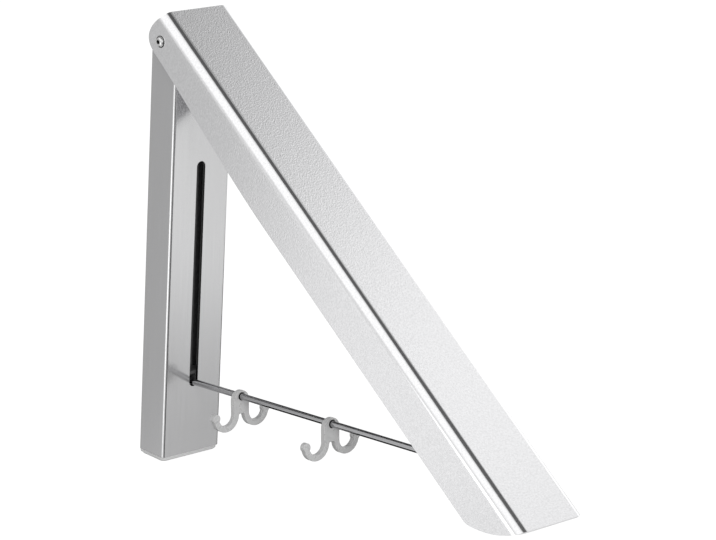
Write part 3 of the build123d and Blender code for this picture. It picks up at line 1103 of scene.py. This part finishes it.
def rod_tree():
    """Geometry Nodes: a rod swept along its line, with a rounded eye at each end."""
    tree, sockets, given = new_tree(
        "Hanging rod", Vector=["Start", "End"], Float=ROD_INPUTS, Material=["Material"]
    )

    def eye(centre, end):
        """A ring round the cross axis, with rounded rims. Also its middle radius."""
        radius, bore = given[f"{end} Eye"], given[f"{end} Bore"]
        middle_radius = maths(tree, "MULTIPLY", maths(tree, "ADD", radius, bore), 0.5)
        section = add_node(
            tree,
            "GeometryNodeCurvePrimitiveQuadrilateral",
            {
                "Width": maths(tree, "SUBTRACT", radius, bore),
                "Height": maths(tree, "MULTIPLY", given[f"{end} Half"], 2.0),
            },
        )
        rounded = add_node(
            tree,
            "GeometryNodeFilletCurve",
            {"Curve": section.outputs["Curve"], "Count": 4, "Radius": given["Edge"]},
            mode="POLY",
        )
        loop = swept(tree, circle(tree, middle_radius, steps=64), rounded.outputs["Curve"])
        return moved(tree, loop, centre, (0, pi / 2, 0)), middle_radius

    inner, inner_middle = eye(given["Start"], "Inner")
    outer, outer_middle = eye(given["End"], "Outer")
    line = rod_line(tree, given)
    whole = add_node(tree, "GeometryNodeCurveLength", {"Curve": line}).outputs["Length"]
    trimmed = add_node(tree, "GeometryNodeTrimCurve", {"Curve": line}, mode="LENGTH")
    limits = {"Start": inner_middle, "End": maths(tree, "SUBTRACT", whole, outer_middle)}
    for name, limit in limits.items():
        in_use = [socket for socket in trimmed.inputs if socket.name == name and socket.enabled]
        tree.links.new(limit, in_use[0])
    section = circle(tree, given["Radius"], steps=48)
    shaft = swept(tree, trimmed.outputs["Curve"], section, caps=True)
    close_tree(tree, joined(tree, inner, outer, shaft), given["Material"])
    return tree, sockets


class DRYRACK_OT_rod(Operator):
    """Build the hanging rod between the slider and the bracket"""

    bl_idname = "drying_rack.rod"
    bl_label = "Hanging Rod"

    def execute(self, context):
        settings = context.scene.drying_rack
        rod = piece_from(bmesh.new(), "chrome_rod")
        values = {label: getattr(settings.rod, name) for label, name in ROD_INPUTS.items()}
        values |= {"Start": rod_inner, "End": rod_outer}
        values["Material"] = material_for("rod_chrome", settings.finish)
        run_tree(rod, *rod_tree(), values)
        smooth(rod, 40)
        dress(rod, "rod", "rod_chrome", settings.finish, "hanging_rod")
        return {"FINISHED"}


def below(first, first_reach, second, second_reach):
    """The lower point at given distances from two centres on one level."""
    apart = second[0] - first[0]
    along = (first_reach**2 - second_reach**2 + apart**2) / (2 * apart)
    return (first[0] + along, first[1] - sqrt(first_reach**2 - along**2))


def hook_half(sizes, inset):
    """The right half of a hook's outline, from the crown to its middle below, moved inwards."""
    steps = sizes.steps
    half_prong = sizes.prong / 2
    half_width = sizes.leg_gap / 2 + sizes.prong
    bend = (sizes.leg_gap / 2 + half_prong + sizes.bend_radius, -sizes.bend_drop)
    tip = (bend[0] + sizes.bend_radius, -sizes.bend_drop)
    inner = sizes.bend_radius - half_prong
    outer = sizes.bend_radius + half_prong
    root = sizes.root_radius
    inner_root = below(bend, inner - root, tip, sizes.tip_radius + root)
    outer_root = below(bend, outer + root, tip, sizes.tip_radius + root)
    leg_drop = bend[1] - root
    leg_root = (bend[0] - sqrt((outer + root) ** 2 - root**2), leg_drop)
    inner_end, outer_end = heading(bend, inner_root), heading(bend, outer_root)
    at_tip = (2 * pi + heading(tip, inner_root), heading(tip, outer_root))
    outside = (heading(outer_root, tip), heading(outer_root, bend))
    outline = arc((0, sizes.crown - half_width), half_width - inset, pi / 2, 0, steps)
    outline += arc(bend, inner + inset, pi, 2 * pi + inner_end, 2 * steps)
    for turn in (
        (inner_root, root + inset, inner_end, heading(inner_root, tip), steps // 2),
        (tip, sizes.tip_radius - inset, *at_tip, 2 * steps),
        (outer_root, root + inset, *outside, steps // 2),
        (bend, outer - inset, outer_end, heading(bend, leg_root), 2 * steps),
        (leg_root, root + inset, heading(leg_root, bend), pi / 2, steps // 2),
    ):
        outline += arc(*turn)[1:]
    return [*outline, (0, leg_drop + root + inset)]


def rounded_rim(edge, half, steps):
    """Insets and heights over a rim with two rounded edges, from the top down."""
    quarter = [pi / 2 * step / steps for step in range(steps + 1)]
    upper = [(edge * (1 - sin(turn)), half - edge * (1 - cos(turn))) for turn in quarter]
    return upper + [(inset, -height) for inset, height in reversed(upper)]


def hook_piece(sizes, bore_steps=40):
    """One hook about the rod's axis, which is Z: rounded skin, flat faces and bore."""
    half = sizes.thickness / 2
    mesh = bmesh.new()
    loops = []
    for inset, height in rounded_rim(sizes.edge, half, steps=6):
        right = hook_half(sizes, inset)
        left = [(-x, y) for x, y in reversed(right)][1:-1]
        loops.append(at_height(right + left, height))
    rings = skin(mesh, loops)
    bore_loops = []
    for grow, height in rounded_rim(sizes.bore_edge, half, steps=3):
        points = arc((0, 0), sizes.bore + grow, pi / 2, -3 * pi / 2, bore_steps)[:-1]
        bore_loops.append(at_height(points, height))
    bore_rings = skin(mesh, bore_loops)
    half_count = len(hook_half(sizes, 0))
    for outline, hole in ((rings[0], bore_rings[0]), (rings[-1], bore_rings[-1])):
        right_hole = hole[: bore_steps // 2 + 1]
        left_hole = hole[bore_steps // 2 :] + hole[:1]
        mesh.faces.new(outline[:half_count] + right_hole[::-1])
        mesh.faces.new(outline[half_count - 1 :] + outline[:1] + left_hole[::-1])
    outward(mesh)
    # Painted shade: the faces of the bore are made nearly black.
    painted_shade = mesh.faces.layers.float.new(PAINTED_SHADE)
    bore_reach = sizes.bore + sizes.bore_edge + CLOSE
    for face in mesh.faces:
        face[painted_shade] = float(max(vertex.co.xy.length for vertex in face.verts) < bore_reach)
    return piece_from(mesh, "hook")


def hook_tree():
    """Geometry Nodes: put a hook at a distance along the rod's line."""
    tree, sockets, given = new_tree(
        "Hook on rod",
        Geometry=["Geometry"],
        Vector=["Start", "End"],
        Float=["Along"],
        Material=["Material"],
    )
    inputs = {"Curves": rod_line(tree, given), "Length": given["Along"]}
    sample = add_node(tree, "GeometryNodeSampleCurve", inputs, mode="LENGTH").outputs
    inputs = {"Count": 1, "Position": sample["Position"]}
    spot = add_node(tree, "GeometryNodePoints", inputs)
    turn = add_node(
        tree,
        "FunctionNodeAxesToRotation",
        {"Primary Axis": sample["Tangent"], "Secondary Axis": tuple(ACROSS)},
        primary_axis="Z",
        secondary_axis="X",
    )
    placed = add_node(
        tree,
        "GeometryNodeInstanceOnPoints",
        {
            "Points": spot.outputs["Points"],
            "Instance": given["Geometry"],
            "Rotation": turn.outputs["Rotation"],
        },
    )
    close_tree(tree, placed.outputs["Instances"], given["Material"])
    return tree, sockets


class DRYRACK_OT_hooks(Operator):
    """Build the two moulded hooks on the rod"""

    bl_idname = "drying_rack.hooks"
    bl_label = "Hooks"

    def execute(self, context):
        settings = context.scene.drying_rack
        tree = hook_tree()
        values = {"Start": rod_inner, "End": rod_outer}
        values["Material"] = material_for("hook_plastic", settings.finish)
        for node in ("hook_inner", "hook_outer"):
            hook = hook_piece(settings.hook)
            hook.name = f"{node}_moulded"
            values["Along"] = (middle(node).y - rod_inner.y) / rod_direction.y
            run_tree(hook, *tree, values)
            smooth(hook, 40)
            dress(hook, node, "hook_plastic", settings.finish, node)
        return {"FINISHED"}


# The reflection tent's level, the lowest that it may have, the distances between which
# a patch fades, and the patches: each has its direction from the tent's centre, its
# half widths in X, Y and Z, and what it adds to the level
TENT_LEVEL = 0.8
TENT_LOWEST = 0.02
TENT_BLUR = (0.7, 1.3)
TENT_PATCHES = {
    "softbox over the left corner": ((-0.72, 0.1, 0.62), (0.5, 0.8, 0.42), 0.38),
    "flag over the top edge": ((0.0, -0.2, 0.98), (0.22, 1.2, 0.6), -1.5),
    "fade beside that flag": ((0.24, -0.2, 0.93), (0.22, 1.2, 0.5), -0.35),
    "flag over the corner's lower end": ((0.03, -0.46, 0.87), (0.3, 0.17, 0.3), -0.8),
    "dim behind the arm's upper end": ((0.5, 0.25, 0.84), (0.25, 0.3, 0.3), -0.3),
    "card over the arm's middle": ((0.63, -0.12, 0.76), (0.35, 0.26, 0.3), 0.12),
    "card over the arm's lower end": ((0.68, -0.35, 0.62), (0.3, 0.38, 0.3), 0.12),
    "softbox over the right corner": ((0.9, 0.3, 0.25), (0.22, 0.6, 0.35), 0.5),
    "flag beside the right corner": ((0.92, 0.05, -0.42), (0.22, 0.5, 0.16), -0.8),
    "dim beside the arm's upper end": ((-0.5, 0.86, -0.15), (0.25, 0.2, 0.42), -0.28),
    "card beside the arm's middle": ((-0.71, 0.61, -0.33), (0.15, 0.19, 0.25), 0.15),
    "card over the housing's front": ((0.73, -0.68, -0.08), (0.4, 0.4, 0.32), 0.3),
    "dim under the housing's front": ((0.62, -0.6, -0.54), (0.2, 0.2, 0.2), -0.15),
    "light line on the housing's edge": ((-0.98, 0.12, -0.32), (0.14, 0.35, 0.3), 1.6),
    "dark line on the housing's edge": ((-0.3, -0.95, -0.3), (0.5, 0.42, 0.45), -1.3),
    "dark line over the rod": ((0.15, 0.85, 0.44), (0.55, 0.35, 0.3), -1.5),
    "dark line under the rod": ((-0.1, 0.68, -0.72), (0.45, 0.3, 0.26), -1.5),
}
# What the floor adds to its own light, and the place that the lamps look at
FLOOR_GLOW = 0.6
LAMP_AIM = Vector((0, -0.12, 0))


def background_share(tree):
    """1 for camera, glossy and transmission rays, and 0 for the rest."""
    rays = add_node(tree, "ShaderNodeLightPath").outputs
    direct = maths(tree, "MAXIMUM", rays["Is Camera Ray"], rays["Is Glossy Ray"])
    return maths(tree, "MAXIMUM", direct, rays["Is Transmission Ray"])


def reflection_tent(radius, centre):
    """A dome that only reflections see: white, with soft boxes and dark flags."""
    mesh = bmesh.new()
    bmesh.ops.create_icosphere(
        mesh, subdivisions=5, radius=radius, matrix=Matrix.Translation(centre)
    )
    tent = piece_from(mesh, "reflection_tent")
    for ray in ("camera", "diffuse", "transmission", "volume_scatter", "shadow"):
        setattr(tent, f"visible_{ray}", False)
    material = bpy.data.materials.new("reflection_tent")
    material.use_nodes = True
    tree = material.node_tree
    tree.nodes.remove(tree.nodes["Principled BSDF"])
    place = add_node(tree, "ShaderNodeTexCoord").outputs["Object"]
    spoke = vector_maths(tree, "SUBTRACT", {0: place, 1: tuple(centre)})
    direction = vector_maths(tree, "NORMALIZE", {0: spoke})
    level = TENT_LEVEL
    for towards, radii, added in TENT_PATCHES.values():
        offset = vector_maths(tree, "SUBTRACT", {0: direction, 1: towards})
        scaled = vector_maths(tree, "DIVIDE", {0: offset, 1: radii})
        distance = vector_maths(tree, "LENGTH", {0: scaled}, "Value")
        patch = mapped(
            tree, distance, added, 0.0, *TENT_BLUR, interpolation_type="SMOOTHSTEP"
        )
        level = maths(tree, "ADD", level, patch)
    strength = maths(tree, "MAXIMUM", level, TENT_LOWEST)
    glow = add_node(tree, "ShaderNodeEmission", {"Strength": strength})
    tree.links.new(glow.outputs["Emission"], tree.nodes["Material Output"].inputs["Surface"])
    tent.data.materials.append(material)
    return tent


def add_lamp(name, place, width, power):
    """A square area lamp that looks at the rack."""
    lamp = bpy.data.lights.new(name, "AREA")
    lamp.size = width
    lamp.energy = power
    holder = bpy.data.objects.new(name, lamp)
    bpy.context.scene.collection.objects.link(holder)
    holder.location = place
    holder.rotation_euler = (LAMP_AIM - Vector(place)).to_track_quat("-Z", "Y").to_euler()


def white_floor(width, drop):
    """A floor that looks white in the picture, whatever the lamps do."""
    half = width / 2
    mesh = bmesh.new()
    corners = [(-half, -half), (half, -half), (half, half), (-half, half)]
    mesh.faces.new([mesh.verts.new((x, y, -drop)) for x, y in corners])
    floor = piece_from(mesh, "floor")
    white = bpy.data.materials.new("white_floor")
    white.use_nodes = True
    tree = white.node_tree
    shader = tree.nodes["Principled BSDF"]
    shader.inputs["Base Color"].default_value = (0.8, 0.8, 0.8, 1)
    shader.inputs["Roughness"].default_value = 0.9
    shader.inputs["Emission Color"].default_value = (1, 1, 1, 1)
    lift = maths(tree, "MULTIPLY", background_share(tree), FLOOR_GLOW)
    tree.links.new(lift, shader.inputs["Emission Strength"])
    floor.data.materials.append(white)
    floor.visible_glossy = False
    return floor


class DRYRACK_OT_stage(Operator):
    """Set up the white floor, the lamps, the world and the camera"""

    bl_idname = "drying_rack.stage"
    bl_label = "Stage"

    def execute(self, context):
        scene = context.scene
        sizes = scene.drying_rack.stage
        scene.view_settings.view_transform = "Standard"

        camera = bpy.data.cameras.new("camera")
        camera.sensor_width = 36
        camera.lens = sizes.focal_length
        camera.clip_end = 100
        holder = bpy.data.objects.new("camera", camera)
        scene.collection.objects.link(holder)
        facing = Matrix.Rotation(sizes.azimuth, 4, "Z")
        facing @= Matrix.Rotation(pi / 2 - sizes.elevation, 4, "X")
        facing @= Matrix.Rotation(sizes.roll, 4, "Z")
        holder.matrix_world = Matrix.Translation(sizes.camera_place) @ facing
        scene.camera = holder

        floor = white_floor(sizes.floor_size, sizes.floor_drop)
        reflection_tent(sizes.tent_radius, sizes.tent_place)

        world = bpy.data.worlds.new("white_world")
        world.use_nodes = True
        scene.world = world
        tree = world.node_tree
        background = tree.nodes["Background"]
        background.inputs["Color"].default_value = (1, 1, 1, 1)
        strength = mapped(tree, background_share(tree), sizes.world_level, 1.0)
        tree.links.new(strength, background.inputs["Strength"])

        add_lamp("key_lamp", (-0.35, -1.0, 0.45), 0.5, sizes.key_power)
        add_lamp("fill_lamp", (-1.1, -0.2, 0.3), 0.6, sizes.fill_power)
        return {"FINISHED"}


PIECE_OPERATORS = (
    DRYRACK_OT_housing,
    DRYRACK_OT_caps,
    DRYRACK_OT_wall_plates,
    DRYRACK_OT_slide,
    DRYRACK_OT_pivot,
    DRYRACK_OT_arm,
    DRYRACK_OT_bracket,
    DRYRACK_OT_rod,
    DRYRACK_OT_hooks,
    DRYRACK_OT_stage,
)


class DRYRACK_PT_panel(Panel):
    """Lists the drying rack's pieces and its stage"""

    bl_idname = "DRYRACK_PT_panel"
    bl_label = "Drying Rack"
    bl_space_type = "VIEW_3D"
    bl_region_type = "UI"
    bl_category = "Drying Rack"

    def draw(self, context):
        for operator in PIECE_OPERATORS:
            self.layout.operator(operator.bl_idname)


CLASSES = (
    HousingSettings,
    ArmSettings,
    RodSettings,
    HookSettings,
    ScrewSettings,
    FinishSettings,
    StageSettings,
    RackSettings,
    *PIECE_OPERATORS,
    DRYRACK_PT_panel,
)


def register():
    """Register the classes and the scene's settings."""
    for cls in CLASSES:
        bpy.utils.register_class(cls)
    bpy.types.Scene.drying_rack = PointerProperty(type=RackSettings)


def unregister():
    """Take the settings and the classes out again."""
    del bpy.types.Scene.drying_rack
    for cls in reversed(CLASSES):
        bpy.utils.unregister_class(cls)


def main():
    """Build every piece and the stage."""
    register()
    for operator in PIECE_OPERATORS:
        group, name = operator.bl_idname.split(".")
        getattr(getattr(bpy.ops, group), name)()


if __name__ == "__main__":
    main()
